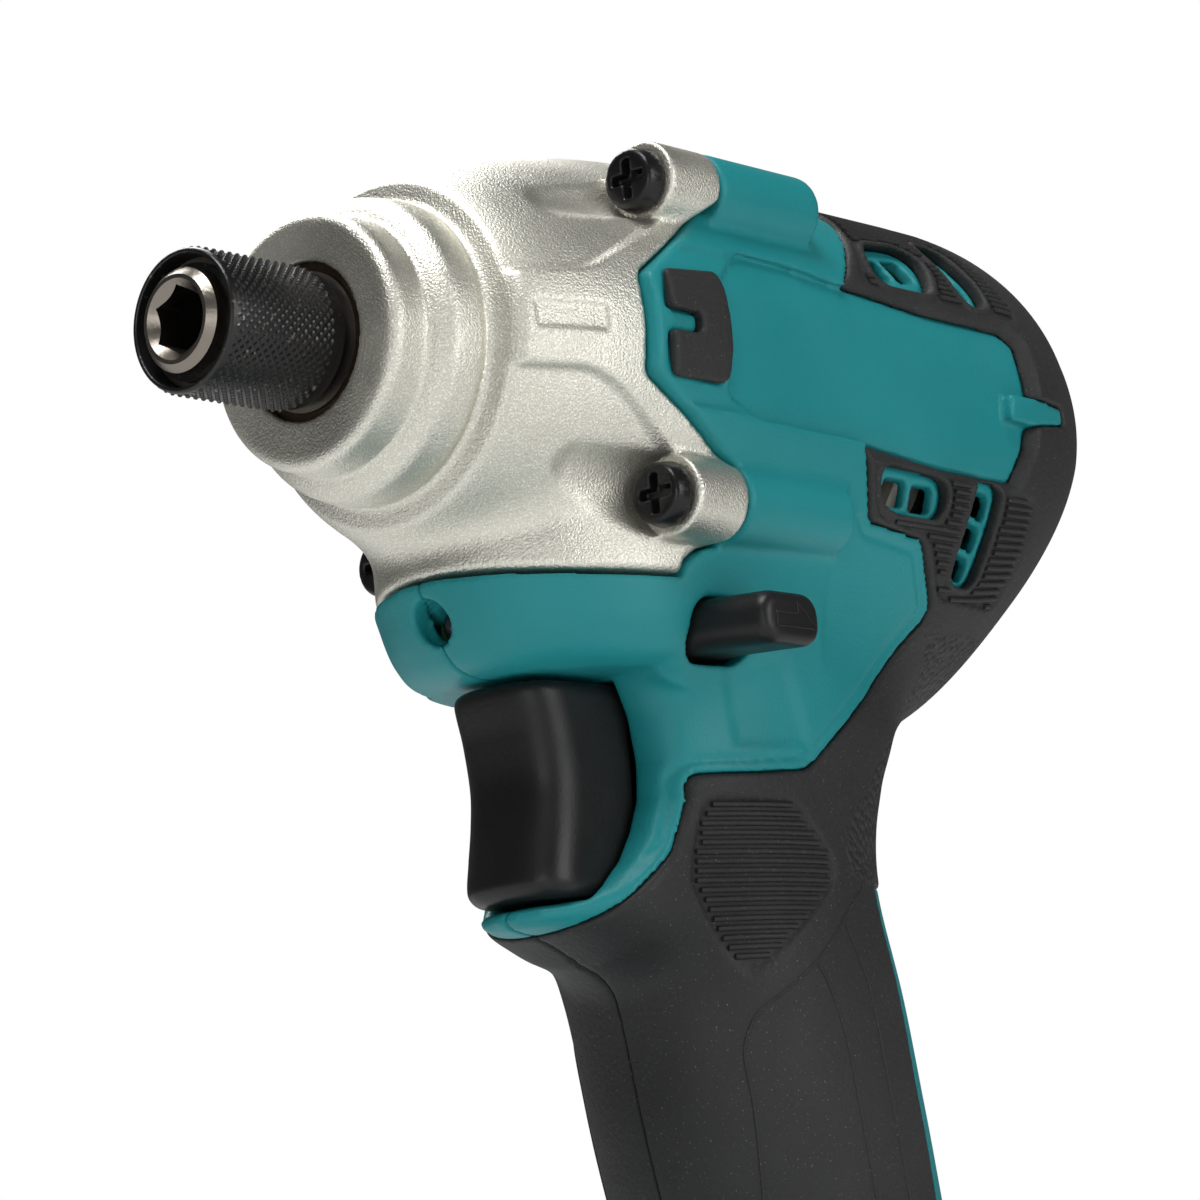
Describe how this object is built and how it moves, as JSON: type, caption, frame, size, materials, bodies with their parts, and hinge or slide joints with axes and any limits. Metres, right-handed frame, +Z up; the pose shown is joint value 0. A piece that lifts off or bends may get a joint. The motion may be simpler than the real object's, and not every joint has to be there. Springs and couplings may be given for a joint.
{
  "type": "cordless impact driver",
  "caption": "Pistol grip cordless impact driver with a domed metal nose, hex bit chuck, trigger, reversing lever and slide-on battery pack.",
  "frame": {"origin": "centre of the battery pack's underside, on the surface it stands on", "axes": "+X forward, the way the bit points; +Y to the tool's left; +Z up, square to the spindle"},
  "size_m": [0.1389, 0.075, 0.2097],
  "materials": {
    "teal_plastic": "satin",
    "soft_grip": "matte",
    "cast_case": "fine cast grain",
    "black_plastic": "satin",
    "black_screws": "black oxide",
    "bronze": "satin",
    "steel": "satin",
    "black_steel": "black oxide",
    "magnets": "plated",
    "copper": "enamelled wire",
    "pale_plastic": "matte",
    "circuit_board": "lacquered",
    "lamp_lens": "clear moulded",
    "cell_sleeve": "shrunk film"
  },
  "bodies": {
    "housing": {"housing_left": "teal_plastic", "housing_right": "teal_plastic", "overmould_left": "soft_grip", "overmould_right": "soft_grip", "side_pads": "soft_grip", "housing_screws": "black_screws", "hook_nuts": "bronze", "hammer_case": "cast_case", "case_screws": "black_screws", "nose_bush": "bronze", "thrust_washer": "steel", "ring_gear": "steel", "gear_case": "black_plastic", "spindle_bearing": "steel", "motor_bearing_front": "steel", "motor_bearing_rear": "steel", "stator_core": "black_steel", "stator_coils": "copper", "stator_insulators": "pale_plastic", "hall_board": "circuit_board", "trigger_spring": "steel", "switch_body": "black_plastic", "led_lens": "lamp_lens", "led_board": "circuit_board", "control_unit": "black_plastic", "terminal_block": "black_plastic"},
    "spindle": {"spindle": "steel", "cam_balls": "steel", "planet_pins": "steel", "spring_washer": "steel", "hammer_spring": "steel"},
    "anvil": {"anvil": "steel", "sleeve_washer": "steel", "retaining_ring": "black_steel", "bit_lock_balls": "steel", "sleeve_spring": "steel"},
    "hammer": {"hammer": "black_steel"},
    "bit_sleeve": {"bit_sleeve": "black_steel"},
    "planet_upper": {"planet_gear_upper": "black_steel"},
    "planet_lower": {"planet_gear_lower": "black_steel"},
    "rotor": {"rotor_shaft": "steel", "sun_pinion": "black_steel", "rotor_core": "black_steel", "rotor_magnets": "magnets", "fan": "black_plastic"},
    "trigger": {"trigger": "black_plastic"},
    "reverse_lever": {"reverse_lever": "black_plastic"},
    "battery": {"battery_case_upper": "black_plastic", "battery_case_lower": "black_plastic", "battery_cells": "cell_sleeve", "cell_holder": "black_plastic", "battery_board": "circuit_board", "battery_contacts": "bronze", "button_spring": "steel", "battery_screws": "black_screws"},
    "battery_button": {"battery_button": "black_plastic"}
  },
  "joints": [
    {"name": "spindle_spin", "type": "hinge", "parent": "housing", "child": "spindle", "pos_m": [0, 0, 0.184], "axis": [1, 0, 0], "continuous": true},
    {"name": "anvil_spin", "type": "hinge", "parent": "housing", "child": "anvil", "pos_m": [0, 0, 0.184], "axis": [1, 0, 0], "continuous": true},
    {"name": "rotor_spin", "type": "hinge", "parent": "housing", "child": "rotor", "pos_m": [0, 0, 0.184], "axis": [1, 0, 0], "continuous": true},
    {"name": "planet_upper_spin", "type": "hinge", "parent": "spindle", "child": "planet_upper", "pos_m": [0, 0, 0.1966], "axis": [1, 0, 0], "continuous": true},
    {"name": "planet_lower_spin", "type": "hinge", "parent": "spindle", "child": "planet_lower", "pos_m": [0, 0, 0.1714], "axis": [1, 0, 0], "continuous": true},
    {"name": "hammer_slide", "type": "slide", "parent": "spindle", "child": "hammer", "axis": [-1, 0, 0], "range_m": [0, 0.0065], "stiffness_N_per_m": 12000, "springref_m": -0.005, "deforming": ["hammer_spring"]},
    {"name": "sleeve_pull", "type": "slide", "parent": "anvil", "child": "bit_sleeve", "axis": [1, 0, 0], "range_m": [0, 0.005], "stiffness_N_per_m": 1000, "springref_m": -0.004, "deforming": ["sleeve_spring"]},
    {"name": "trigger_pull", "type": "slide", "parent": "housing", "child": "trigger", "axis": [-1, 0, 0], "range_m": [0, 0.006], "stiffness_N_per_m": 600, "springref_m": -0.003, "deforming": ["trigger_spring"]},
    {"name": "lever_push", "type": "slide", "parent": "housing", "child": "reverse_lever", "axis": [0, 1, 0], "range_m": [-0.009, 0]},
    {"name": "battery_slide", "type": "slide", "parent": "housing", "child": "battery", "axis": [1, 0, 0], "range_m": [0, 0.062]},
    {"name": "button_press", "type": "slide", "parent": "battery", "child": "battery_button", "axis": [0, 0, -1], "range_m": [0, 0.004], "stiffness_N_per_m": 800, "springref_m": -0.002, "deforming": ["button_spring"]}
  ],
  "couplings": [
    {"joint": "anvil_spin", "follows": "spindle_spin", "ratio": 1},
    {"joint": "rotor_spin", "follows": "spindle_spin", "ratio": 4.8},
    {"joint": "planet_upper_spin", "follows": "spindle_spin", "ratio": -2.7143},
    {"joint": "planet_lower_spin", "follows": "spindle_spin", "ratio": -2.7143}
  ]
}
